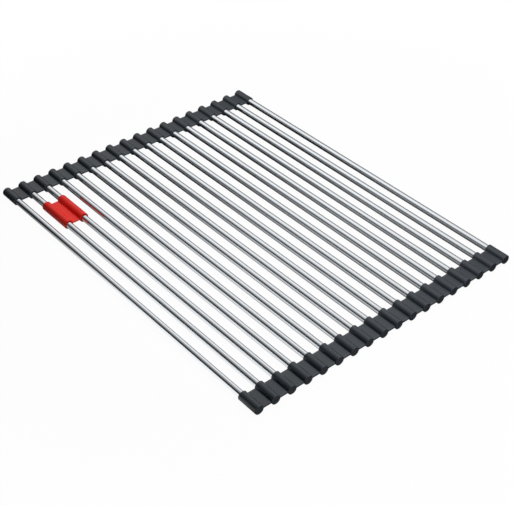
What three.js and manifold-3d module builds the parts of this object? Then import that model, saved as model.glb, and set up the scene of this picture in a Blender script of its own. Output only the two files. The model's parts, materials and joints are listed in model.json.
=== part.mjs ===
// Roll-up dish drying rack. Round steel tubes lie side by side, and a strip of silicone
// links holds each end. Every link is a closed socket round one tube, with half a web on
// either side, and the webs meet in a rounded nose and seat where the rack bends. A soft
// tag joins two neighbouring tubes and slides along them.
//
// Sizes are in millimetres. The tubes lie along X, the rack rolls up along Y, and Z is up.
// The origin is under the middle of the rack, on the surface that it lies on.

import * as THREE from "three";
import { mergeVertices } from "three/addons/utils/BufferGeometryUtils.js";
import Module from "manifold-3d";

// The whole rack
const BAR_COUNT = 18;
const BAR_PITCH = 21; // from the centre of one bar to the centre of the next
const RACK_LENGTH = 470.5; // along the bars, over both strips

// The bars, which are thin tubes
const BAR_DIAMETER = 8;
const BAR_WALL = 0.6;
const BAR_END_CLEARANCE = 0.3; // from the tube's end to the bottom of its socket

// The sockets of the strips
const SOCKET_LENGTH = 26; // along the bar
const SOCKET_CLEARANCE = 0.3; // round the tube, on the radius
const SOCKET_WALL = 1.2;
const SOCKET_FLOOR = 2; // the closed outer end
const RIM_BEVEL = 0.8; // round the closed end
const FOOT_DEPTH = 0.2; // how far the flat is cut into the underside

// The webs that join the sockets
const WEB_THICKNESS = 2.2;
const WEB_DROP = 0.5; // from the bar's axis down to the web's middle
const WEB_SETBACK = 0.8; // from the socket's end to the web's edge
const WEB_FILLET = 1; // where the web's faces meet the socket
const HINGE_CLEARANCE = 0.3; // between a nose and its seat

// The tag
const TAG_FIRST_BAR = 2; // counted from one, as the bars' names are
const TAG_LENGTH = 48.5;
const TAG_OFFSET = 29.5; // from the left strip to the tag
const TAG_CLEARANCE = 0.3; // round the tube, on the radius
const TAG_WALL = 1.4;
const TAG_BEVEL = 0.5; // round the end nearer the left strip
const TAG_WEB_THICKNESS = 2;
const TAG_FOOT_CLEARANCE = 0.1; // from the tag to the surface under the rack

// How finely round forms are cut
const ROUND_SIDES = 20;
const FILLET_STEPS = 2;
const NOSE_STEPS = 6;
const OVERRUN = 1; // how far a cutting form reaches past what it cuts

// Sizes that follow
const barRadius = BAR_DIAMETER / 2;
const socketRadius = barRadius + SOCKET_CLEARANCE + SOCKET_WALL;
const axisHeight = socketRadius - FOOT_DEPTH;
const barLength = RACK_LENGTH - 2 * (SOCKET_FLOOR + BAR_END_CLEARANCE);
const linkPlace = (RACK_LENGTH - SOCKET_LENGTH) / 2;
const tagPlace = TAG_OFFSET + SOCKET_LENGTH + (TAG_LENGTH - RACK_LENGTH) / 2;
const hingeReach = BAR_PITCH / 2;

// Everything that a socket with its half webs is made from
const linkForm = {
  length: SOCKET_LENGTH,
  radius: socketRadius,
  bore: barRadius + SOCKET_CLEARANCE,
  floor: SOCKET_FLOOR,
  bevel: RIM_BEVEL,
  footDepth: FOOT_DEPTH,
  web: WEB_THICKNESS,
};

const tagRadius = barRadius + TAG_CLEARANCE + TAG_WALL;
const tagForm = {
  length: TAG_LENGTH,
  radius: tagRadius,
  bore: barRadius + TAG_CLEARANCE,
  floor: 0,
  bevel: TAG_BEVEL,
  footDepth: tagRadius - axisHeight + TAG_FOOT_CLEARANCE,
  web: TAG_WEB_THICKNESS,
};

const steel = { color: 0xd3d7da, roughness: 0.16, metalness: 1 };
const silicone = { color: 0x3a3e42, roughness: 0.68, metalness: 0 };
const redSilicone = { color: 0xc4161a, roughness: 0.45, metalness: 0 };

const library = await Module();
library.setup();

// A closed mesh as a solid: shared corners are merged and empty triangles are left out.
function closed(geometry) {
  const bare = geometry.clone();
  bare.deleteAttribute("normal");
  bare.deleteAttribute("uv");
  const merged = mergeVertices(bare);
  const corners = merged.index.array;
  const kept = [];
  for (let i = 0; i < corners.length; i += 3) {
    const [a, b, c] = corners.slice(i, i + 3);
    if (a !== b && b !== c && c !== a) kept.push(a, b, c);
  }
  merged.setIndex(kept);
  return merged;
}

function toSolid(geometry) {
  const shell = closed(geometry);
  return new library.Manifold(
    new library.Mesh({
      numProp: 3,
      vertProperties: new Float32Array(shell.getAttribute("position").array),
      triVerts: new Uint32Array(shell.index.array),
    }),
  );
}

function toGeometry(solid) {
  const { vertProperties, triVerts } = solid.getMesh();
  const geometry = new THREE.BufferGeometry();
  geometry.setAttribute("position", new THREE.BufferAttribute(vertProperties, 3));
  geometry.setIndex(new THREE.BufferAttribute(triVerts, 1));
  return geometry;
}

// Points along an arc, from one angle to another in radians
function arc(across, up, radius, from, to, steps) {
  return Array.from({ length: steps + 1 }, (_, k) => {
    const angle = from + ((to - from) * k) / steps;
    return new THREE.Vector2(across + radius * Math.cos(angle), up + radius * Math.sin(angle));
  });
}

// A form turned about the bar's axis. The outline gives radius and place along the axis,
// and its far end points along +X, or along -X where facing is -1.
function turned(outline, facing) {
  const lathe = new THREE.LatheGeometry(outline, ROUND_SIDES);
  return lathe.rotateZ((-facing * Math.PI) / 2);
}

function box(low, high) {
  const size = new THREE.Vector3().subVectors(high, low);
  const middle = new THREE.Vector3().addVectors(low, high).multiplyScalar(1 / 2);
  return new THREE.BoxGeometry(size.x, size.y, size.z).translate(middle.x, middle.y, middle.z);
}

// The outside of a socket: a cylinder with a bevelled rim at the end away from its mouth
function barrel({ length, radius, bevel }, facing) {
  const half = length / 2;
  return turned(
    [
      new THREE.Vector2(0, -half),
      new THREE.Vector2(radius - bevel, -half),
      new THREE.Vector2(radius, bevel - half),
      new THREE.Vector2(radius, half),
      new THREE.Vector2(0, half),
    ],
    facing,
  );
}

// The hollow of a socket, blind where the form has a floor and right through where it hasn't
function hollow(form, facing) {
  const half = form.length / 2;
  const bottom = form.floor > 0 ? form.floor - half : -half - OVERRUN;
  return turned(
    [
      new THREE.Vector2(0, bottom),
      new THREE.Vector2(form.bore, bottom),
      new THREE.Vector2(form.bore, half + OVERRUN),
      new THREE.Vector2(0, half + OVERRUN),
    ],
    facing,
  );
}

// The free end of a half web, seen along the bars. A nose is round about the hinge line, and
// a seat is hollow about the same line, wider by the clearance.
function noseEnd(form) {
  const radius = form.web / 2;
  return arc(hingeReach, -WEB_DROP, radius, Math.PI / 2, -Math.PI / 2, NOSE_STEPS);
}

function seatEnd(form) {
  const radius = form.web / 2 + HINGE_CLEARANCE;
  const spread = Math.asin(form.web / 2 / radius);
  return arc(hingeReach, -WEB_DROP, radius, Math.PI - spread, Math.PI + spread, NOSE_STEPS);
}

// Half a web, seen along the bars, from its top fillet out to its end and back underneath.
// Each fillet touches the web's face and the socket's flat sides.
function halfWeb(form, end) {
  const wall = form.radius * Math.cos(Math.PI / ROUND_SIDES);
  const top = form.web / 2 - WEB_DROP;
  const bottom = -form.web / 2 - WEB_DROP;
  const reach = wall + WEB_FILLET;
  const upper = new THREE.Vector2(0, top + WEB_FILLET);
  upper.x = Math.sqrt(reach ** 2 - upper.y ** 2);
  const lower = new THREE.Vector2(0, bottom - WEB_FILLET);
  lower.x = Math.sqrt(reach ** 2 - lower.y ** 2);
  const upperTouch = Math.atan2(upper.y, upper.x) + Math.PI;
  const lowerTouch = Math.atan2(lower.y, lower.x) + Math.PI;
  return [
    ...arc(upper.x, upper.y, WEB_FILLET, upperTouch, (3 * Math.PI) / 2, FILLET_STEPS),
    ...end,
    ...arc(lower.x, lower.y, WEB_FILLET, Math.PI / 2, lowerTouch, FILLET_STEPS),
  ];
}

// The webs seen along the bars: a nose towards +Y, a seat towards -Y, or only one of them
function webProfile(form, { nose, seat }) {
  const ahead = nose ? halfWeb(form, noseEnd(form)) : [];
  const behind = seat ? halfWeb(form, seatEnd(form)) : [];
  const mirrored = behind.map((p) => new THREE.Vector2(-p.x, p.y)).reverse();
  return new THREE.Shape([...ahead, ...mirrored]);
}

// The webs as a solid, a little shorter along the bars than the socket that carries them
function webs(form, ends) {
  const width = form.length - 2 * WEB_SETBACK;
  const profile = new THREE.ExtrudeGeometry(webProfile(form, ends), { depth: width, bevelEnabled: false });
  const alongBars = new THREE.Matrix4().makeBasis(
    new THREE.Vector3(0, 1, 0),
    new THREE.Vector3(0, 0, 1),
    new THREE.Vector3(1, 0, 0),
  );
  return profile.translate(0, 0, -width / 2).applyMatrix4(alongBars);
}

// The flat that a socket lies on
function underside(form) {
  const half = form.length / 2 + OVERRUN;
  const side = form.radius + OVERRUN;
  const cut = form.footDepth - form.radius;
  return box(new THREE.Vector3(-half, -side, -side), new THREE.Vector3(half, side, cut));
}

// One socket with its half webs, centred on its bar's axis
function hingedSocket(form, ends, facing) {
  return toGeometry(
    toSolid(barrel(form, facing))
      .add(toSolid(webs(form, ends)))
      .subtract(toSolid(hollow(form, facing)))
      .subtract(toSolid(underside(form))),
  );
}

// One thin tube
function tube() {
  const half = barLength / 2;
  const inner = barRadius - BAR_WALL;
  return closed(
    turned(
      [
        new THREE.Vector2(inner, -half),
        new THREE.Vector2(barRadius, -half),
        new THREE.Vector2(barRadius, half),
        new THREE.Vector2(inner, half),
        new THREE.Vector2(inner, -half),
      ],
      1,
    ),
  );
}

function piece(name, geometry, finish, along = 0) {
  const mesh = new THREE.Mesh(geometry, new THREE.MeshStandardMaterial(finish));
  mesh.name = name;
  mesh.position.x = along;
  return mesh;
}

// One row of the rack: a bar, its two links and, on two bars, half of the tag
function row(number) {
  const group = new THREE.Group();
  const label = String(number).padStart(2, "0");
  const ends = { nose: number < BAR_COUNT, seat: number > 1 };
  group.add(
    piece(`bar_${label}`, tube(), steel),
    piece(`left_link_${label}`, hingedSocket(linkForm, ends, 1), silicone, -linkPlace),
    piece(`right_link_${label}`, hingedSocket(linkForm, ends, -1), silicone, linkPlace),
  );
  const tagHalf = number - TAG_FIRST_BAR;
  if (tagHalf === 0 || tagHalf === 1) {
    const tagEnds = { nose: tagHalf === 0, seat: tagHalf === 1 };
    group.add(piece(`tag_sleeve_${label}`, hingedSocket(tagForm, tagEnds, 1), redSilicone, tagPlace));
  }
  group.position.y = (number - (BAR_COUNT + 1) / 2) * BAR_PITCH;
  return group;
}

const rack = new THREE.Group();
rack.position.z = axisHeight;
for (let number = 1; number <= BAR_COUNT; number += 1) rack.add(row(number));

export default rack;
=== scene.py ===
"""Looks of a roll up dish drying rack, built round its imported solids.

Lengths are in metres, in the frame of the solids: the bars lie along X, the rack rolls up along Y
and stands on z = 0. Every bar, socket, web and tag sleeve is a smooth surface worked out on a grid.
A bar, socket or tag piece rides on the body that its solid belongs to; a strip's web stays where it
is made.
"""

import json
import logging
import math
from dataclasses import dataclass
from enum import Enum
from typing import Any, Union

import bpy
import numpy as np
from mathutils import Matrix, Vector


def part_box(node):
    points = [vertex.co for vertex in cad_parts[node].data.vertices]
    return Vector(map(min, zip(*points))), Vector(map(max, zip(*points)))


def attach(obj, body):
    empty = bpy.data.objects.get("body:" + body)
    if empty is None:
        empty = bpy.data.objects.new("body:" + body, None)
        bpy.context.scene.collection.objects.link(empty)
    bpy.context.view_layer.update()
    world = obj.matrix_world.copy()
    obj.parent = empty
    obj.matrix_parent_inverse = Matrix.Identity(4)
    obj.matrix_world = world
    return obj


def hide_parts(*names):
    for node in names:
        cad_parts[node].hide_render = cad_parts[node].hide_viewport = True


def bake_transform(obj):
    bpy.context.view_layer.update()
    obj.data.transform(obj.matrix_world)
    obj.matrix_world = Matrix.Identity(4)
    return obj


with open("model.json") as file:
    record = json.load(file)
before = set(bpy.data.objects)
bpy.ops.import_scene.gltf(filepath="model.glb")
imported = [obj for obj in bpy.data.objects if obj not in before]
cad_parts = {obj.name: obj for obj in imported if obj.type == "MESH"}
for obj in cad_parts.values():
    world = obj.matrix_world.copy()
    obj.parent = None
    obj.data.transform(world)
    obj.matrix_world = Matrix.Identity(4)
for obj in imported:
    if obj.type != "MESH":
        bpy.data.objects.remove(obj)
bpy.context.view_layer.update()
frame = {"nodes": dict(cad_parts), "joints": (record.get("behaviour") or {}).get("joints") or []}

LOG = logging.getLogger("rack")
MM = 0.001
X, Y, Z = range(3)  # the axes' places in a row of coordinates

Value = Union["Wire", int, float]


# Shader maths


@dataclass(frozen=True)
class Tone:
    """A colour in linear light."""

    red: float
    green: float
    blue: float

    @property
    def rgba(self) -> tuple[float, float, float, float]:
        """The colour with full cover."""
        return (self.red, self.green, self.blue, 1.0)

    def lit(self, share: float) -> "Tone":
        """The same colour, lighter or darker by a share."""
        return Tone(self.red * share, self.green * share, self.blue * share)


WHITE = Tone(1.0, 1.0, 1.0)


class Wire:
    """A node's output socket that can be used in sums: 1 - wire, wire * 0.3 + other."""

    def __init__(self, bench: "Bench", socket: bpy.types.NodeSocket | None) -> None:
        """Keeps the socket, and the bench that new Math nodes go on."""
        self.bench = bench
        self.socket = socket

    def _maths(self, operation: str, *inputs: Value) -> "Wire":
        """The result of one more Math node, whose sockets take the inputs in order."""
        return self.bench.node("ShaderNodeMath", {"operation": operation}, dict(enumerate(inputs)))

    def __add__(self, other: Value) -> "Wire":
        """This wire plus the other value."""
        return self._maths("ADD", self, other)

    __radd__ = __add__

    def __sub__(self, other: Value) -> "Wire":
        """This wire less the other value."""
        return self._maths("SUBTRACT", self, other)

    def __rsub__(self, other: Value) -> "Wire":
        """The other value less this wire."""
        return self._maths("SUBTRACT", other, self)

    def __mul__(self, other: Value) -> "Wire":
        """This wire times the other value."""
        return self._maths("MULTIPLY", self, other)

    __rmul__ = __mul__

    def __truediv__(self, other: Value) -> "Wire":
        """This wire over the other value."""
        return self._maths("DIVIDE", self, other)

    def __rtruediv__(self, other: Value) -> "Wire":
        """The other value over this wire."""
        return self._maths("DIVIDE", other, self)

    def __pow__(self, power: Value) -> "Wire":
        """This wire to a power."""
        return self._maths("POWER", self, power)

    def __rpow__(self, base: Value) -> "Wire":
        """The other value to the power of this wire."""
        return self._maths("POWER", base, self)

    def cosine(self) -> "Wire":
        """The cosine of this wire, in radians."""
        return self._maths("COSINE", self)

    def root(self) -> "Wire":
        """The square root of this wire."""
        return self._maths("SQRT", self)

    def below(self, limit: Value) -> "Wire":
        """1 where this wire is below the limit, and 0 elsewhere."""
        return self._maths("LESS_THAN", self, limit)

    def at_least(self, floor: Value) -> "Wire":
        """This wire, and never below the floor."""
        return self._maths("MAXIMUM", self, floor)

    def at_most(self, ceiling: Value) -> "Wire":
        """This wire, and never above the ceiling."""
        return self._maths("MINIMUM", self, ceiling)

    def eased(self, low: float, high: float) -> "Wire":
        """A smooth step from 0 to 1 as this wire goes from low to high."""
        values = {"Value": self, "From Min": low, "From Max": high}
        return self.bench.node("ShaderNodeMapRange", {"interpolation_type": "SMOOTHSTEP"}, values)


MIX_INPUTS = (0, 6, 7)  # the numbers of the Mix node's share and of its two colours
MIX_RESULT = 2  # the number of its mixed colour


class Bench:
    """Makes the nodes of one material or world."""

    def __init__(self, tree: bpy.types.NodeTree) -> None:
        """Clears the node tree and keeps it."""
        self.tree = tree
        tree.nodes.clear()

    def node(
        self,
        kind: str,
        settings: dict[str, Any] | None = None,
        values: dict[Any, Any] | None = None,
        output: Any = 0,
    ) -> Wire:
        """Adds one node.

        Args:
            kind: the node's type.
            settings: its own settings, set before its sockets.
            values: what its input sockets take, by name or number: a wire, a number or a tone.
            output: the output to hand back, by name or number.

        Returns:
            The chosen output as a wire.
        """
        made = self.tree.nodes.new(kind)
        for name, setting in (settings or {}).items():
            setattr(made, name, setting)
        for name, value in (values or {}).items():
            socket = made.inputs[name]
            if isinstance(value, Wire):
                self.tree.links.new(value.socket, socket)
            else:
                socket.default_value = value.rgba if isinstance(value, Tone) else value
        return Wire(self, made.outputs[output] if made.outputs else None)

    def mixed(self, share: Any, first: Any, second: Any) -> Wire:
        """A colour from the first, where the share is 0, to the second, where it is 1."""
        values = dict(zip(MIX_INPUTS, (share, first, second)))
        return self.node("ShaderNodeMix", {"data_type": "RGBA"}, values, MIX_RESULT)

    def place(self, stretch: tuple[float, float, float] = (1.0, 1.0, 1.0)) -> Wire:
        """The place on the object, with each coordinate multiplied by its stretch."""
        point = self.node("ShaderNodeTexCoord", output="Object")
        return self.node("ShaderNodeMapping", {}, {"Vector": point, "Scale": stretch})

    def ground(self, coordinates: str = "Object") -> tuple[Wire, Wire]:
        """The place along X and along Y.

        Args:
            coordinates: which output of the Texture Coordinate node is read.

        Returns:
            A wire for X and one for Y.
        """
        point = self.node("ShaderNodeTexCoord", output=coordinates)
        x = self.node("ShaderNodeSeparateXYZ", {}, {"Vector": point}, output="X")
        return x, Wire(self, x.socket.node.outputs["Y"])

    def ray(self, kind: str) -> Wire:
        """1 for the rays that this output of the Light Path node names, and 0 for the rest."""
        return self.node("ShaderNodeLightPath", output=kind)

    def noise(self, where: Wire, scale: float, detail: float = 2.0, rough: float = 0.5) -> Wire:
        """Soft noise from 0 to 1, with its middle at 0.5.

        Args:
            where: the vector that it is read at.
            scale: how many waves fit in a metre.
            detail: how many finer layers are added.
            rough: how strong the finer layers are.

        Returns:
            The noise value.
        """
        values = {"Vector": where, "Scale": scale, "Detail": detail, "Roughness": rough}
        return self.node("ShaderNodeTexNoise", {}, values)

    def bump(self, height: Wire, depth: float, strength: float, under: Wire | None = None) -> Wire:
        """A normal that follows a height.

        Args:
            height: the height from 0 to 1.
            depth: what a height of 1 is, in metres.
            strength: how much of it shows.
            under: a normal that this one is laid on.

        Returns:
            The normal.
        """
        values: dict[Any, Any] = {"Height": height, "Distance": depth, "Strength": strength}
        if under is not None:
            values["Normal"] = under
        return self.node("ShaderNodeBump", {}, values)

    def glow(self, strength: Value) -> Wire:
        """White light given off by a surface, where a strength of 1 is white."""
        return self.node("ShaderNodeEmission", {}, {"Color": WHITE, "Strength": strength})

    def finish(self, surface: Wire) -> None:
        """Makes this the material's surface."""
        self.node("ShaderNodeOutputMaterial", {}, {"Surface": surface})


def new_material(name: str) -> tuple[bpy.types.Material, Bench]:
    """Makes an empty material.

    Args:
        name: the material's name.

    Returns:
        The material, and the bench that its nodes go on.
    """
    made = bpy.data.materials.new(name)
    made.use_nodes = True
    return made, Bench(made.node_tree)


# Finishes


@dataclass(frozen=True)
class PolishedSteel:
    """Polished stainless tube: a mirror softened by fine drawing lines along the tube."""

    name: str = "polished_stainless"
    colour: Tone = Tone(0.785, 0.815, 0.845)
    darkest: float = 0.95
    lightest: float = 1.03
    roughness: float = 0.09
    line_haze: float = 0.03
    polish_haze: float = 0.048
    line_depth: float = 0.6e-6
    line_strength: float = 0.5
    lines_across: float = 5200.0
    lines_along: float = 26.0
    polish_scale: float = 34.0
    polish_stretch: tuple[float, float, float] = (1.0, 2.2, 2.2)
    polish_tint: float = 0.5
    cloud_scale: float = 9.0
    cloud_tint: float = 0.5

    def material(self) -> bpy.types.Material:
        """Builds the finish.

        Returns:
            The material.
        """
        made, bench = new_material(self.name)
        lines = bench.place((self.lines_along, self.lines_across, self.lines_across))
        drawn = bench.noise(lines, 1.0, detail=3.0, rough=0.6)
        polish = bench.noise(bench.place(self.polish_stretch), self.polish_scale, detail=3.0)
        cloud = bench.noise(bench.place(), self.cloud_scale, detail=1.0)
        colour = bench.mixed(
            (polish - 0.5) * self.polish_tint + cloud * self.cloud_tint,
            self.colour.lit(self.darkest),
            self.colour.lit(self.lightest),
        )
        hazy = (drawn - 0.5) * self.line_haze + (polish - 0.5) * self.polish_haze
        surface = bench.node(
            "ShaderNodeBsdfPrincipled",
            {},
            {
                "Base Color": colour,
                "Metallic": 1.0,
                "Roughness": hazy + self.roughness,
                "Normal": bench.bump(drawn, self.line_depth, self.line_strength),
            },
        )
        bench.finish(surface)
        return made


@dataclass(frozen=True)
class MouldedSilicone:
    """Soft moulded silicone: matt and finely grained, rubbed smoother on its rims, which are made
    lighter as a painted highlight.
    """

    name: str
    colour: Tone
    roughness: float = 0.36
    specular: float = 0.5
    grain_depth: float = 1.6e-5
    grain_scale: float = 2600.0
    grain_strength: float = 0.55
    grain_haze: float = 0.08
    speckled: float = 0.30
    speckle_scale: float = 832.0
    speckle_ends: tuple[float, float] = (0.52, 0.72)
    speckle_light: float = 1.35
    flow_scale: float = 55.0
    flow_stretch: tuple[float, float, float] = (0.4, 1.0, 1.0)
    flow_depth: float = 3.0
    flow_strength: float = 0.25
    flow_haze: float = 0.10
    darkest: float = 0.90
    lightest: float = 1.10
    # the rims: rubbed smoother, and made lighter as a painted highlight
    rim_highlight: float = 0.75
    rim_highlight_light: float = 2.2
    wear_and_highlight_ends: tuple[float, float] = (0.55, 1.45)
    rubbed_gloss: float = 0.07

    def material(self) -> bpy.types.Material:
        """Builds the finish. The attribute "rim" says where it is rubbed smoother and made lighter
        as a painted highlight.

        Returns:
            The material.
        """
        made, bench = new_material(self.name)
        grain = bench.noise(bench.place(), self.grain_scale, detail=3.0, rough=0.6)
        speckle = bench.noise(bench.place(), self.speckle_scale)
        flow = bench.noise(bench.place(self.flow_stretch), self.flow_scale, detail=3.0)
        rim = bench.node("ShaderNodeAttribute", {"attribute_name": "rim"}, output="Fac")
        least, most = self.wear_and_highlight_ends
        # where the rims are rubbed smoother and lit by a painted highlight
        worn_and_highlit = (rim * (flow * (most - least) + least)).at_most(1.0)
        body = bench.mixed(flow, self.colour.lit(self.darkest), self.colour.lit(self.lightest))
        spots = speckle.eased(*self.speckle_ends) * self.speckled
        spotted = bench.mixed(spots, body, self.colour.lit(self.speckle_light))
        # painted highlight: the rubbed rims are lighter
        colour = bench.mixed(worn_and_highlit * self.rim_highlight, spotted, self.colour.lit(self.rim_highlight_light))
        hazy = (flow - 0.5) * self.flow_haze + (grain - 0.5) * self.grain_haze
        coarse = bench.bump(flow, self.grain_depth * self.flow_depth, self.flow_strength)
        surface = bench.node(
            "ShaderNodeBsdfPrincipled",
            {},
            {
                "Base Color": colour,
                "Roughness": hazy + self.roughness - worn_and_highlit * self.rubbed_gloss,
                "Specular IOR Level": self.specular,
                "Normal": bench.bump(grain, self.grain_depth, self.grain_strength, coarse),
            },
        )
        bench.finish(surface)
        return made


# Surfaces

HOLD = 0.35  # how far past a rounded corner its flats are held, in radii
FLATS = np.linspace(0.8, -0.8, 5)  # where a slab's flat faces are divided, in half widths
SLIMMEST = 0.98  # the most that a slab's side edge takes of its half thickness


@dataclass(frozen=True)
class Surface:
    """A closed mesh in the making: its points, its faces, and how much each point is rubbed and lit
    by a painted highlight.
    """

    points: np.ndarray
    quads: np.ndarray
    triangles: np.ndarray
    rim: np.ndarray

    def moved(self, x: float = 0.0, y: float = 0.0, z: float = 0.0) -> "Surface":
        """The same surface, carried to another place."""
        return Surface(self.points + np.array([x, y, z]), self.quads, self.triangles, self.rim)

    def mirrored(self, axis: int) -> "Surface":
        """The same surface with one axis turned round, and its faces still pointing outwards."""
        points = self.points * np.where(np.arange(3) == axis, -1.0, 1.0)
        return Surface(points, self.quads[:, ::-1], self.triangles[:, ::-1], self.rim)


def corner_arc(
    before: np.ndarray, corner: np.ndarray, after: np.ndarray, radius: float, steps: int
) -> np.ndarray:
    """Rounds one corner of an outline.

    The arc touches both sides at radius / tan(half the angle between them) from the corner. Its
    middle is on the line that halves the angle, at radius / sin(half the angle).

    Args:
        before: the outline's point before the corner.
        corner: the corner.
        after: the point after it.
        radius: the arc's radius.
        steps: how many parts the arc has.

    Returns:
        The arc's points in order, with one more on either side of it that keeps the flat flat.
    """
    back = (before - corner) / np.linalg.norm(before - corner)
    ahead = (after - corner) / np.linalg.norm(after - corner)
    half = math.acos(float(np.clip(back @ ahead, -1.0, 1.0))) / 2
    middle_way = (back + ahead) / np.linalg.norm(back + ahead)
    centre = corner + middle_way * radius / math.sin(half)
    start = corner + back * radius / math.tan(half)
    end = corner + ahead * radius / math.tan(half)
    turn = np.linspace(0.0, 1.0, steps + 1)[:, None]
    sweep = math.pi - 2 * half
    first, last = start - centre, end - centre
    swung = first * np.sin((1 - turn) * sweep) + last * np.sin(turn * sweep)
    arc = centre + swung / math.sin(sweep)
    hold = HOLD * radius
    return np.vstack([start + back * hold, arc, end + ahead * hold])


def fillet_line(
    radius: float, fillet: float, sunk: float, level: float, way: int, steps: int = 8
) -> np.ndarray:
    """The start of a web's upper or lower line: from inside its socket, round the fillet.

    A fillet of radius f that touches a circle of radius R and a level face at height h has its
    middle at height h + f above the web, or h - f below it, at a distance R + f from the circle's
    middle.

    Args:
        radius: the socket's radius.
        fillet: the fillet's radius.
        sunk: how deep inside the socket the line starts.
        level: the face's height, from the socket's middle.
        way: 1 for the web's upper face and -1 for its lower one.
        steps: how many parts the fillet has.

    Returns:
        Rows of y and z from the socket's middle, of which the last is where the face starts.
    """
    centre_z = level + way * fillet
    centre_y = math.sqrt((radius + fillet) ** 2 - centre_z**2)
    touch = math.atan2(centre_z, centre_y)
    inside = np.array([math.cos(touch), math.sin(touch)]) * (radius - sunk)
    angle = np.linspace(touch + math.pi, math.pi * (1 + way / 2), steps + 1)
    bend = np.stack([centre_y + fillet * np.cos(angle), centre_z + fillet * np.sin(angle)], -1)
    return np.vstack([inside, bend])


def rounded_outline(
    corners: list[tuple[float, float]], radii: list[float], steps: int = 6
) -> np.ndarray:
    """An open outline with its corners rounded. The first and last points stay as they are.

    Args:
        corners: the outline's corners in order.
        radii: the radius at each corner, 0 where it stays sharp.
        steps: how many parts each arc has.

    Returns:
        The outline's points.
    """
    points = np.array(corners, float)
    parts = [points[:1]]
    for k in range(1, len(points) - 1):
        if radii[k] > 0:
            parts.append(corner_arc(points[k - 1], points[k], points[k + 1], radii[k], steps))
        else:
            parts.append(points[k : k + 1])
    parts.append(points[-1:])
    return np.vstack(parts)


def grid_quads(rows: int, columns: int, rows_close: bool) -> np.ndarray:
    """Faces between neighbouring points of a grid whose columns close on themselves.

    Point (i, j) has number i * columns + j, and each face joins (i, j), (i, j + 1),
    (i + 1, j + 1) and (i + 1, j).

    Args:
        rows: how many rows the grid has.
        columns: how many points a row has.
        rows_close: True where the last row joins the first.

    Returns:
        An array of four point numbers for each face.
    """
    i = np.arange(rows if rows_close else rows - 1)[:, None]
    j = np.arange(columns)[None, :]
    below, right = (i + 1) % rows, (j + 1) % columns
    faces = np.stack(
        [i * columns + j, i * columns + right, below * columns + right, below * columns + j], -1
    )
    return faces.reshape(-1, 4)


def pole_fan(pole: int, ring: np.ndarray, outward: bool) -> np.ndarray:
    """Triangles from one point to every side of a ring.

    Args:
        pole: the number of the middle point.
        ring: the numbers of the ring's points in order.
        outward: whether the faces run with the ring's order.

    Returns:
        An array of three point numbers for each face.
    """
    following = np.roll(ring, -1)
    middle = np.full_like(ring, pole)
    return np.stack([middle, following, ring] if outward else [middle, ring, following], -1)


def turned_surface(
    outline: np.ndarray, rim: np.ndarray, sides: int, closed: bool, lowest: float = -math.inf
) -> Surface:
    """An outline turned about the X axis.

    A point at place x and radius r becomes (x, r cos a, r sin a) for angles a round the axis. An
    open outline starts and ends on the axis, where its points are poles. A flat underside comes
    from lifting every point below the lowest height up to it.

    Args:
        outline: rows of place along the axis and radius, running so that the solid is on the
            right of the way along it.
        rim: how much each row is rubbed and lit by a painted highlight, from 0 to 1.
        sides: how many parts a turn has.
        closed: True where the outline is a ring.
        lowest: the lowest height, from the axis.

    Returns:
        The surface.
    """
    rows = outline if closed else outline[1:-1]
    angle = np.linspace(0.0, 2 * math.pi, sides, endpoint=False)
    x = np.repeat(rows[:, :1], sides, 1)
    across, up = rows[:, 1:] * np.cos(angle), rows[:, 1:] * np.sin(angle)
    points = np.stack([x, across, up], -1).reshape(-1, 3)
    quads = grid_quads(len(rows), sides, closed)
    wear_and_highlight = np.repeat(rim if closed else rim[1:-1], sides)
    triangles = np.zeros((0, 3), int)
    if not closed:
        first, last = len(points), len(points) + 1
        points = np.vstack([points, [outline[0, 0], 0, 0], [outline[-1, 0], 0, 0]])
        wear_and_highlight = np.concatenate([wear_and_highlight, rim[:1], rim[-1:]])
        ring, last_ring = np.arange(sides), np.arange(sides) + first - sides
        triangles = np.vstack([pole_fan(first, ring, True), pole_fan(last, last_ring, False)])
    points[:, Z] = np.maximum(points[:, Z], lowest)
    return Surface(points, quads, triangles, wear_and_highlight)


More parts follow.
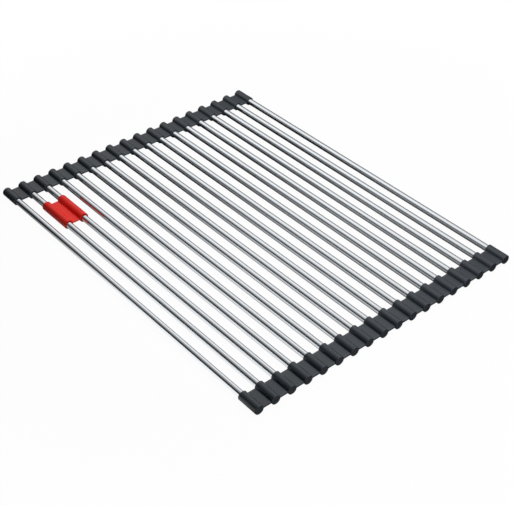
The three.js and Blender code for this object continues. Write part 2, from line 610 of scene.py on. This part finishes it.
def slab_surface(
    top: np.ndarray, bottom: np.ndarray, half_width: float, edge: float, steps: int = 5
) -> Surface:
    """A slab between an upper and a lower line, with rounded edges along both sides.

    For each pair of line points, a rounded rectangle stands in the plane of X and the way from
    the lower point to the upper one. A point of it is half the width out along X and half the
    height up, less the edge's radius, plus that radius times (cos a, sin a) at each corner.

    Args:
        top: rows of y and z along the upper line.
        bottom: as many rows of y and z along the lower line.
        half_width: half the slab's width along X.
        edge: the radius of its side edges.
        steps: how many parts each rounded corner has.

    Returns:
        The surface, closed by fans at both ends.
    """
    quarter = np.linspace(0.0, math.pi / 2, steps + 1)
    angle = np.concatenate([quarter + k * math.pi / 2 for k in range(4)])
    half = np.linalg.norm(top - bottom, axis=1)[:, None] / 2
    round_edge = np.minimum(edge, half * SLIMMEST)
    out = half_width - edge + edge * np.abs(np.cos(angle))
    height = half - round_edge + round_edge * np.abs(np.sin(angle))
    corner_x = out * np.repeat([1, -1, -1, 1], steps + 1)
    corner_lift = height * np.repeat([1, 1, -1, -1], steps + 1)
    flat_x = (half_width - edge) * FLATS
    flat_lift = np.repeat(half, len(FLATS), 1)
    after_corners = np.repeat([1, 3], len(FLATS)) * (steps + 1)
    ring_x = np.insert(corner_x, after_corners, np.hstack([flat_x, -flat_x]))
    lift = np.insert(corner_lift, after_corners, np.hstack([flat_lift, -flat_lift]), axis=1)
    middle = (top + bottom) / 2
    up = (top - bottom) / (2 * half)
    x = np.repeat(ring_x[None, :], len(top), 0)
    y = middle[:, :1] + up[:, :1] * lift
    z = middle[:, 1:] + up[:, 1:] * lift
    grid = np.stack([x, y, z], -1).reshape(-1, 3)
    points = np.vstack([grid, [0, *middle[0]], [0, *middle[-1]]])
    to_side = (half_width - np.abs(ring_x)) / (2 * edge)
    # the side edges are rubbed and lit by a painted highlight
    wear_and_highlight = np.append(np.tile(np.clip(1 - to_side, 0, 1), len(top)), [0, 0])
    first, last, columns = len(grid), len(grid) + 1, len(ring_x)
    ring, last_ring = np.arange(columns), np.arange(columns) + first - columns
    triangles = np.vstack([pole_fan(first, ring, False), pole_fan(last, last_ring, True)])
    return Surface(points, grid_quads(len(top), columns, False)[:, ::-1], triangles, wear_and_highlight)


def make_piece(
    name: str, surface: Surface, material: bpy.types.Material
) -> bpy.types.Object:
    """Puts a surface into a mesh object at the origin.

    Args:
        name: the piece's name.
        surface: its points and faces, in the row frame.
        material: its finish.

    Returns:
        The object, shaded smooth.
    """
    mesh = bpy.data.meshes.new(name)
    faces = [*surface.quads.tolist(), *surface.triangles.tolist()]
    mesh.from_pydata(surface.points.tolist(), [], faces)
    mesh.polygons.foreach_set("use_smooth", np.ones(len(faces), bool))
    mesh.attributes.new("rim", "FLOAT", "POINT").data.foreach_set(
        "value", surface.rim.astype(np.float32)
    )
    mesh.materials.append(material)
    mesh.update()
    made = bpy.data.objects.new(name, mesh)
    bpy.context.scene.collection.objects.link(made)
    return made


# The rack's own parts


class End(Enum):
    """Which end of the bars a strip holds, as the solids' names have it."""

    LEFT = "left"
    RIGHT = "right"


@dataclass(frozen=True)
class Box:
    """The box round a solid, from its lowest corner to its highest."""

    low: np.ndarray
    high: np.ndarray

    @classmethod
    def of(cls, node: str) -> "Box":
        """Reads a node's box, to the nearest micrometre."""
        low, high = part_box(node)
        return cls(np.round(low, 6), np.round(high, 6))

    @property
    def size(self) -> np.ndarray:
        """Its lengths along X, Y and Z."""
        return self.high - self.low

    @property
    def middle(self) -> np.ndarray:
        """Its middle."""
        return (self.low + self.high) / 2


@dataclass(frozen=True)
class RackPlan:
    """Sizes that every part shares."""

    bars: int
    pitch: float
    bar_radius: float
    axis_height: float
    web_middle: float  # from the bars' axes

    @classmethod
    def from_frame(cls) -> "RackPlan":
        """Works the sizes out from the bars' solids and the first hinge.

        Returns:
            The plan.
        """
        bars = sum(node.startswith("bar_") for node in frame["nodes"])
        first, last = Box.of("bar_01"), Box.of(f"bar_{row_label(bars)}")
        pitch = (last.middle[Y] - first.middle[Y]) / (bars - 1)
        axis_height = first.middle[Z]
        hinge_height = frame["joints"][0]["pos_m"][Z]
        return cls(bars, pitch, first.size[Z] / 2, axis_height, hinge_height - axis_height)

    def row_y(self, number: int) -> float:
        """Where the bar with this number lies across the rack, counted from one."""
        return (number - (self.bars + 1) / 2) * self.pitch


def row_label(number: int) -> str:
    """A row's number as the solids' names have it."""
    return f"{number:02d}"


@dataclass(frozen=True)
class RackPart:
    """What the bars, a strip and the tag share: a finish, and a round form about a bar's axis."""

    plan: RackPlan
    material: bpy.types.Material
    solid: Box  # of one of its solids

    @property
    def radius(self) -> float:
        """Its radius about a bar's axis."""
        return self.solid.high[Z] - self.plan.axis_height

    @property
    def length(self) -> float:
        """Its length along the bars."""
        return self.solid.size[X]

    def middle(self, number: int) -> tuple[float, float, float]:
        """Its middle on the bar with this number."""
        return self.solid.middle[X], self.plan.row_y(number), self.plan.axis_height


@dataclass(frozen=True)
class Bars(RackPart):
    """The steel tubes."""

    wall: float = 0.6 * MM
    end_round: float = 0.15 * MM
    sides: int = 96
    stations: int = 25

    def outline(self) -> np.ndarray:
        """The wall cut along the tube: back along the outside, and out along the bore.

        Returns:
            A ring of rows of place along the bar and radius.
        """
        half, inner, eased = self.length / 2, self.radius - self.wall, self.radius - self.end_round
        along = np.linspace(half - self.end_round, self.end_round - half, self.stations)
        outside = np.stack([along, np.full_like(along, self.radius)], -1)
        ends_and_bore = np.array([[-half, eased], [-half, inner], [half, inner], [half, eased]])
        return np.vstack([outside, ends_and_bore])

    def build(self) -> list[bpy.types.Object]:
        """Makes every tube and lets it ride on its row.

        Returns:
            The tubes.
        """
        outline = self.outline()
        tube = turned_surface(outline, np.zeros(len(outline)), self.sides, True)
        made = []
        for number in range(1, self.plan.bars + 1):
            label = row_label(number)
            placed = tube.moved(*self.middle(number))
            piece = make_piece(f"steel_tube_{label}", placed, self.material)
            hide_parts(f"bar_{label}")
            made.append(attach(piece, f"row_{label}"))
        return made


@dataclass(frozen=True)
class EndStrip(RackPart):
    """One strip of soft sockets, joined by webs that bend."""

    end: End
    clearance: float = 0.05 * MM
    floor: float = 2.0 * MM
    rim_round: float = 0.5 * MM
    mouth_round: float = 0.15 * MM
    rim_band: float = 0.6 * MM
    rim_reach: float = 1.6  # how far the rubbing and the painted highlight reach, in band widths
    mouth_band: float = 1.2 * MM
    web_thickness: float = 2.2 * MM
    web_setback: float = 0.8 * MM  # from the sockets' ends to the web's sides
    web_edge: float = 0.20 * MM
    fillet: float = 0.6 * MM
    fillet_still: float = 0.4  # the share of a fillet that doesn't bend
    sunk: float = 0.35 * MM
    sides: int = 96
    bend_rows: int = 22

    def socket_surface(self) -> Surface:
        """A blind socket with its closed end towards +X, centred on its bar's axis.

        The outline runs from the middle of the closed end over its rounded rim, along the
        outside, round the mouth, into the bore and to the middle of the bore's floor. It has a
        point on the outside where the rubbing and painted highlight of the rim stop, and one
        where the mouth's do.

        Returns:
            The surface.
        """
        half, mouth = self.length / 2, self.mouth_round
        bore = self.plan.bar_radius + self.clearance
        corners = [
            (half, 0.0),
            (half, self.radius),
            (half - self.rim_reach * self.rim_band, self.radius),
            (self.mouth_band - half, self.radius),
            (-half, self.radius),
            (-half, bore),
            (half - self.floor, bore),
            (half - self.floor, 0.0),
        ]
        radii = [0.0, self.rim_round, 0.0, 0.0, mouth, mouth, mouth, 0.0]
        outline = rounded_outline(corners, radii)
        to_rim = np.abs(outline - np.array([half, self.radius])).sum(1) / self.rim_band
        to_mouth = np.abs(outline - np.array([-half, self.radius])).sum(1) / self.mouth_band
        # near the rim and the mouth: rubbed and lit by a painted highlight
        worn_and_highlit = np.clip(self.rim_reach - to_rim, 0, 1) + np.clip(1 - to_mouth, 0, 1)
        lowest = -self.plan.axis_height
        return turned_surface(outline, np.clip(worn_and_highlit, 0, 1), self.sides, False, lowest)

    def web_lines(self) -> list[np.ndarray]:
        """The upper and lower lines of a web between two sockets, seen along the bars.

        Returns:
            Rows of y and z for the upper line and for the lower one, from the axis of the first
            bar.
        """
        lines = []
        for way in (1, -1):
            level = self.plan.web_middle + way * self.web_thickness / 2
            near = fillet_line(self.radius, self.fillet, self.sunk, level, way)
            start = near[-1, 0]
            span = np.linspace(start, self.plan.pitch - start, self.bend_rows)[1:-1]
            face = np.stack([span, np.full_like(span, level)], -1)
            far = near[::-1] * np.array([-1, 1]) + np.array([self.plan.pitch, 0])
            lines.append(np.vstack([near, face, far]))
        return lines

    def build(self) -> list[bpy.types.Object]:
        """Makes every socket and web of the strip.

        Returns:
            The strip's pieces.
        """
        socket = self.socket_surface()
        if self.end is End.LEFT:
            socket = socket.mirrored(X)
        half_width = self.length / 2 - self.web_setback
        web = slab_surface(*self.web_lines(), half_width, self.web_edge)
        made = []
        for number in range(1, self.plan.bars + 1):
            made.append(self._socket(socket, number))
            if number < self.plan.bars:
                made.append(self._web(web, number))
        return made

    def _socket(self, socket: Surface, number: int) -> bpy.types.Object:
        """Makes the socket of one bar and lets it ride on its row.

        Args:
            socket: the socket's surface, from its bar's axis.
            number: the bar's number.

        Returns:
            The socket.
        """
        label = row_label(number)
        name = f"{self.end.value}_socket_{label}"
        piece = make_piece(name, socket.moved(*self.middle(number)), self.material)
        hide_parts(f"{self.end.value}_link_{label}")
        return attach(piece, f"row_{label}")

    def _web(self, web: Surface, number: int) -> bpy.types.Object:
        """Makes the web after one bar, between its two rows.

        Args:
            web: the web's surface, from its first bar's axis.
            number: the number of the bar before the web.

        Returns:
            The web.
        """
        label, following = row_label(number), row_label(number + 1)
        x, y, height = self.middle(number)
        name = f"{self.end.value}_web_{label}_{following}"
        piece = make_piece(name, web.moved(x, y, height), self.material)
        reach = self.radius + self.fillet_still * self.fillet
        start = (x, y + reach, height + self.plan.web_middle)
        stop = (x, y + self.plan.pitch - reach, height + self.plan.web_middle)
        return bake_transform(piece)


@dataclass(frozen=True)
class SlidingTag(RackPart):
    """The soft tag: two sleeves on neighbouring bars, with a bare web between them."""

    first_bar: int = 2
    clearance: float = 0.3 * MM
    end_round: float = 0.5 * MM
    end_band: float = 1.2 * MM
    bore_round: float = 0.2 * MM
    web_thickness: float = 2.0 * MM
    web_setback: float = 0.8 * MM
    web_edge: float = 0.5 * MM
    web_rows: int = 7
    fillet: float = 1.0 * MM
    sunk: float = 0.4 * MM
    nose_gap: float = 0.02 * MM  # how much thinner the second half's web is, on each side
    nose_rows: int = 9
    sides: int = 96

    def sleeve_surface(self) -> Surface:
        """A sleeve open at both ends: a ring outline of outside and bore with rounded ends.

        Returns:
            The surface, centred on its bar's axis.
        """
        half, bore = self.length / 2, self.plan.bar_radius + self.clearance
        # where the rubbed band with its painted highlight starts at each end
        worn_and_highlit = half - self.end_band
        corners = [
            (0.0, self.radius),
            (-worn_and_highlit, self.radius),
            (-half, self.radius),
            (-half, bore),
            (half, bore),
            (half, self.radius),
            (worn_and_highlit, self.radius),
            (0.0, self.radius),
        ]
        end, mouth = self.end_round, self.bore_round
        outline = rounded_outline(corners, [0.0, 0.0, end, mouth, mouth, end, 0.0, 0.0])[:-1]
        # near the ends: rubbed and lit by a painted highlight
        to_end = half - np.abs(outline[:, 0]) + np.abs(outline[:, 1] - self.radius)
        rim = np.clip(1 - to_end / self.end_band, 0, 1)
        lowest = self.solid.low[Z] - self.plan.axis_height
        return turned_surface(outline, rim, self.sides, True, lowest)

    def half_web(self, radius: float) -> Surface:
        """Half a web, from inside its sleeve to a round nose about the bend's own line.

        The nose is a half turn of the given radius about that line, so that the two halves stay
        joined at any bend.

        Args:
            radius: the nose's radius, which is half the web's thickness.

        Returns:
            The surface, from its bar's axis and towards +Y.
        """
        hinge, height = self.plan.pitch / 2, self.plan.web_middle
        turn = np.linspace(0, math.pi / 2, self.nose_rows)[1:-1]
        lines = []
        for way in (1, -1):
            level = height + way * radius
            near = fillet_line(self.radius, self.fillet, self.sunk, level, way)
            span = np.linspace(near[-1, 0], hinge, self.web_rows)[1:]
            face = np.stack([span, np.full_like(span, level)], -1)
            nose = np.stack(
                [hinge + radius * np.sin(turn), height + way * radius * np.cos(turn)], -1
            )
            lines.append(np.vstack([near, face, nose]))
        return slab_surface(*lines, self.length / 2 - self.web_setback, self.web_edge)

    def build(self) -> list[bpy.types.Object]:
        """Makes both sleeves and both halves of the web, which ride on the tag's halves.

        Returns:
            The tag's pieces.
        """
        sleeve = self.sleeve_surface()
        made = []
        for side in (0, 1):
            number = self.first_bar + side
            label = row_label(number)
            middle = self.middle(number)
            half = self.half_web(self.web_thickness / 2 - side * self.nose_gap)
            if side == 1:
                half = half.mirrored(Y)
            tube = make_piece(f"tag_tube_{label}", sleeve.moved(*middle), self.material)
            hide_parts(f"tag_sleeve_{label}")
            web = make_piece(f"tag_web_{label}", half.moved(*middle), self.material)
            made += [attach(tube, f"tag_{label}"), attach(web, f"tag_{label}")]
        return made


# The studio


@dataclass(frozen=True)
class Vantage:
    """Where the camera stands: a point that it looks at, the way back to it, and its lens."""

    aim: tuple[float, float, float] = (0.04821, -0.02555, 0.0053)
    azimuth: float = 50.026
    elevation: float = 38.304
    distance: float = 1.28071
    focal_pixels: float = 1146.01
    picture_width: int = 513
    sensor: float = 36.0

    def build(self) -> None:
        """Makes the camera. It looks along -(sin a cos e, -cos a cos e, sin e)."""
        a, e = math.radians(self.azimuth), math.radians(self.elevation)
        back = Vector((math.sin(a) * math.cos(e), -math.cos(a) * math.cos(e), math.sin(e)))
        data = bpy.data.cameras.new("camera")
        data.sensor_width = self.sensor
        data.lens = self.focal_pixels / self.picture_width * self.sensor
        camera = bpy.data.objects.new("camera", data)
        camera.location = Vector(self.aim) + back * self.distance
        camera.rotation_euler = (-back).to_track_quat("-Z", "Y").to_euler()
        bpy.context.scene.collection.objects.link(camera)
        bpy.context.scene.camera = camera


def stage_sheet(name: str, corners: np.ndarray) -> bpy.types.Object:
    """Makes a four-sided sheet that isn't part of the rack.

    Args:
        name: the sheet's name.
        corners: its four corners in order.

    Returns:
        The sheet.
    """
    mesh = bpy.data.meshes.new(name)
    mesh.from_pydata(corners.tolist(), [], [(0, 1, 2, 3)])
    made = bpy.data.objects.new(name, mesh)
    bpy.context.scene.collection.objects.link(made)
    return made


def level_corners(size: tuple[float, float], middle: tuple[float, float, float]) -> np.ndarray:
    """The four corners of a level sheet with these sides along X and Y."""
    ways = np.array([[-1, -1, 0], [1, -1, 0], [1, 1, 0], [-1, 1, 0]])
    return ways * np.array([*size, 0.0]) / 2 + np.array(middle)


def stage_bench(sheet: bpy.types.Object, name: str) -> Bench:
    """Gives a stage sheet an empty material, whose glow isn't sampled as a lamp.

    Args:
        sheet: the sheet.
        name: the material's name.

    Returns:
        The bench that the material's nodes go on.
    """
    made, bench = new_material(name)
    made.cycles.emission_sampling = "NONE"
    sheet.data.materials.append(made)
    return bench


def show_in_mirrors_only(sheet: bpy.types.Object) -> None:
    """Hides a sheet from all but the rays that the rack mirrors."""
    sheet.visible_camera = sheet.visible_diffuse = sheet.visible_shadow = False


@dataclass(frozen=True)
class FloorGlow:
    """Painted light and shade on the floor where the rack mirrors it: how bright it is, with 1 for
    white.
    """

    plan: RackPlan
    front: float = -0.185  # just in front of the rack, where the fading starts
    reach: float = 0.55
    gain: float = 1.68
    peak: float = 1.15
    least: float = 0.005
    power: float = 2.65  # at x = 0, and it grows with the lean to the left
    lean: float = 12.0
    least_power: float = 1.95
    bend_start: float = 0.03  # how far left of x = 0 the power starts to grow faster
    bend: float = 220.0
    left_ends: tuple[float, float] = (-0.28, 0.045)
    slant_front: float = -0.195
    slant: float = 1.5
    right_ends: tuple[float, float] = (0.20, 0.24)
    right_share: float = 0.12
    far_ends: tuple[float, float] = (0.45, 0.90)
    shade_offset: float = -5.5 * MM  # how far each bar's painted shadow lies in front of it
    shade_least: float = 0.40
    shade_more: float = 1.00
    shade_most: float = 0.82

    def unshaded(self, y: Wire, inward: Wire) -> Wire:
        """What the bars' painted shadows leave of the floor's brightness.

        Between two bars nothing is lost. The share that a bar takes is greatest in the middle of
        its painted shadow, and falls off as 0.5 + 0.5 cos(2 pi way / pitch). It grows with the way
        in from the front, up to a limit. The shadows lie where the bars of the flat rack are.

        Args:
            y: the place along Y.
            inward: the way in from the front, over the reach.

        Returns:
            The share that is left, from 0 to 1.
        """
        pitch = self.plan.pitch
        way = y - self.shade_offset
        below_bar = ((way - pitch / 2) * (2 * math.pi / pitch)).cosine() * 0.5 + 0.5
        within = (way * way).below((self.plan.bars * pitch / 2) ** 2)
        depth = (inward * self.shade_more + self.shade_least).at_most(self.shade_most)
        return 1.0 - below_bar * within * depth

    def strength(self, x: Wire, y: Wire, distance: Wire) -> Wire:
        """The brightness at a place on the floor.

        From the rack's front edge inwards it fades as painted shade, gain * (1 - way / reach) ^
        power, less the bars' painted shadows, and never above the peak. The power is a line in x
        with a least value, plus bend * (way left of its start) ^ 2. A smooth step paints shade on
        the floor towards the left end, along a line that slants in front of the rack, and another
        does under the right end. Far from the rack the floor is white.

        Args:
            x: the place along X.
            y: the place along Y.
            distance: how far the place is from the rack's middle.

        Returns:
            The brightness.
        """
        inward = (y - self.front).at_least(0.0) / self.reach
        leftward = (-self.bend_start - x).at_least(0.0)
        power = (self.power - x * self.lean).at_least(self.least_power)
        power = power + leftward * leftward * self.bend
        faded = (1.0 - inward).at_least(0.0) ** power * self.gain
        lit = (faded * self.unshaded(y, inward)).at_most(self.peak)
        ahead = (self.slant_front - y).at_least(0.0)
        left = (x - ahead * self.slant).eased(*self.left_ends)
        right = 1.0 - x.eased(*self.right_ends) * (1.0 - self.right_share)
        near = lit * left * right * (1.0 - self.least) + self.least
        far = distance.eased(*self.far_ends)
        return near + far * (1.0 - near)


@dataclass(frozen=True)
class Floor:
    """A floor that the camera sees white, with a faint shadow of the rack.

    The rack's mirrors see its glow there, with painted light and shade, and light that bounces
    off it meets paper, which is darker to the right as painted shade on the sockets' ends.
    """

    plan: RackPlan
    side: float = 12.0
    drop: float = 0.15 * MM
    colour: Tone = Tone(0.80, 0.80, 0.80)
    # painted shade: the paper is darker to the right, so less light bounces onto the sockets'
    # closed ends there
    left_paper: Tone = Tone(0.90, 0.90, 0.90)
    right_paper: Tone = Tone(0.42, 0.42, 0.42)
    paper_ends: tuple[float, float] = (-0.10, 0.22)
    shadow: float = 0.035
    shadow_ends: tuple[float, float] = (0.25, 0.60)

    def build(self) -> None:
        """Makes the floor. The shadow's share fades with the distance from the rack."""
        floor = stage_sheet("floor", level_corners((self.side, self.side), (0, 0, -self.drop)))
        bench = stage_bench(floor, "pale_floor")
        seen, glossy = bench.ray("Is Camera Ray"), bench.ray("Is Glossy Ray")
        passing = bench.ray("Is Transmission Ray")
        x, y = bench.ground()
        distance = (x * x + y * y).root()
        paper = bench.mixed(x.eased(*self.paper_ends), self.left_paper, self.right_paper)
        colour = bench.mixed(seen, paper, self.colour)
        matt = bench.node("ShaderNodeBsdfDiffuse", {}, {"Color": colour})
        # painted light and shade that the rack's mirrors see on the floor; the camera sees it white
        mirrored = FloorGlow(self.plan).strength(x, y, distance)
        white = bench.glow(1.0 - glossy * (1.0 - mirrored))
        shadow = (1.0 - distance.eased(*self.shadow_ends)) * self.shadow
        share = (seen * (1.0 - shadow) + glossy + passing).at_most(1.0)
        bench.finish(bench.node("ShaderNodeMixShader", {}, {0: share, 1: matt, 2: white}))


@dataclass(frozen=True)
class Scrim:
    """A wide sheet of light over the rack, which only the rack's mirrors see."""

    centre: tuple[float, float] = (-0.19, 0.119)
    height: float = 0.31
    size: tuple[float, float] = (2.6, 1.9)
    peak: float = 1.125
    base: float = 0.005
    reach_left: float = 1.30
    reach_right: float = 0.55
    reach_front: float = 0.236
    reach_back: float = 0.32
    slant: float = 0.123
    beyond_ends: tuple[float, float] = (0.25, 0.45)
    beyond_more: float = 1.3

    def build(self) -> None:
        """Makes the sheet.

        Its light falls off as exp(-(dx / rx)^2 / 2 - (dy / ry)^2 / 2) from its brightest point,
        where rx and ry are the reaches to that side, and the line that dy is taken from slants.
        Beyond the rack's right end, where only rounded rims mirror it, it is brighter.
        """
        middle_x, middle_y = self.centre
        scrim = stage_sheet("scrim", level_corners(self.size, (middle_x, middle_y, self.height)))
        show_in_mirrors_only(scrim)
        bench = stage_bench(scrim, "scrim_light")
        x, y = bench.ground()
        aside = x - middle_x
        away = (y - middle_y) - aside * self.slant
        across = aside.at_least(0.0) / self.reach_right + aside.at_most(0.0) / self.reach_left
        along = away.at_least(0.0) / self.reach_back + away.at_most(0.0) / self.reach_front
        fall = math.e ** ((across * across + along * along) * -0.5)
        beyond = 1.0 + x.eased(*self.beyond_ends) * self.beyond_more
        bench.finish(bench.glow(fall * beyond * (self.peak - self.base) + self.base))


@dataclass(frozen=True)
class FrontCard:
    """A low white card in front of the rack, which only the rack's mirrors see."""

    half_length: float = 1.5
    place: float = -0.45
    height: float = 0.064
    bright: float = 1.12
    ends: tuple[float, float] = (-0.42, -0.15)

    def build(self) -> None:
        """Makes the card. Its brightness grows from 0 as a smooth step along X."""
        half, y, top = self.half_length, self.place, self.height
        corners = np.array([[-half, y, top], [half, y, top], [half, y, 0], [-half, y, 0]])
        card = stage_sheet("front_card", corners)
        show_in_mirrors_only(card)
        bench = stage_bench(card, "white_card")
        x, _ = bench.ground()
        bench.finish(bench.glow(x.eased(*self.ends) * self.bright))


@dataclass(frozen=True)
class Fill:
    """A broad lamp over the rack, which lights it evenly and shows in no reflection."""

    place: tuple[float, float, float] = (0.17, 0.10, 0.45)
    size: tuple[float, float] = (1.0, 0.35)
    power: float = 3.0

    def build(self) -> None:
        """Makes the lamp."""
        lamp = bpy.data.lights.new("fill", "AREA")
        lamp.shape = "RECTANGLE"
        lamp.size, lamp.size_y = self.size
        lamp.energy = self.power
        fill = bpy.data.objects.new("fill", lamp)
        fill.location = self.place
        fill.visible_glossy = False
        bpy.context.scene.collection.objects.link(fill)


@dataclass(frozen=True)
class Room:
    """The room: white to the camera, and to the rack brighter behind it than in front of it."""

    front_strength: float = 0.028
    back_strength: float = 0.38
    front_tint: Tone = Tone(0.65, 0.98, 1.32)
    back_tint: Tone = Tone(0.93, 0.99, 1.05)
    ends: tuple[float, float] = (-0.35, 0.55)

    def build(self) -> None:
        """Makes the world. Its strength and tint go from front to back as a smooth step."""
        world = bpy.data.worlds.new("room")
        world.use_nodes = True
        bpy.context.scene.world = world
        bench = Bench(world.node_tree)
        _, y = bench.ground("Generated")
        behind = y.eased(*self.ends)
        tint = bench.mixed(behind, self.front_tint, self.back_tint)
        strength = behind * (self.back_strength - self.front_strength) + self.front_strength
        soft = bench.node("ShaderNodeBackground", {}, {"Color": tint, "Strength": strength})
        plain = bench.node("ShaderNodeBackground", {}, {"Color": WHITE, "Strength": 1.0})
        white = (bench.ray("Is Camera Ray") + bench.ray("Is Transmission Ray")).at_most(1.0)
        sky = bench.node("ShaderNodeMixShader", {}, {0: white, 1: soft, 2: plain})
        bench.node("ShaderNodeOutputWorld", {}, {"Surface": sky})


@dataclass(frozen=True)
class Studio:
    """A pale floor, soft lights and a plain room round the rack."""

    plan: RackPlan

    def build(self) -> None:
        """Makes the floor, the lights and the room, and sets the plain view."""
        Floor(self.plan).build()
        Scrim().build()
        FrontCard().build()
        Fill().build()
        Room().build()
        bpy.context.scene.view_settings.view_transform = "Standard"


# The whole scene


def main() -> None:
    """Builds the camera, the rack and the studio in order."""
    logging.basicConfig(level=logging.INFO, format="%(name)s: %(message)s")
    plan = RackPlan.from_frame()
    Vantage().build()
    pieces = Bars(plan, PolishedSteel().material(), Box.of("bar_01")).build()
    anthracite = MouldedSilicone("anthracite_silicone", Tone(0.0305, 0.036, 0.0425)).material()
    for end in End:
        pieces += EndStrip(plan, anthracite, Box.of(f"{end.value}_link_01"), end).build()
    red = MouldedSilicone(
        "red_silicone",
        Tone(0.90, 0.020, 0.010),
        specular=0.34,
        grain_depth=1.2e-6,
        speckled=0.03,
        # a faint painted highlight on the rubbed ends
        rim_highlight=0.02,
    )
    pieces += SlidingTag(plan, red.material(), Box.of("tag_sleeve_02")).build()
    for piece in pieces:
        mesh = piece.data
        LOG.info("%s: %d points, %d faces", piece.name, len(mesh.vertices), len(mesh.polygons))
    Studio(plan).build()


if __name__ == "__main__":
    main()
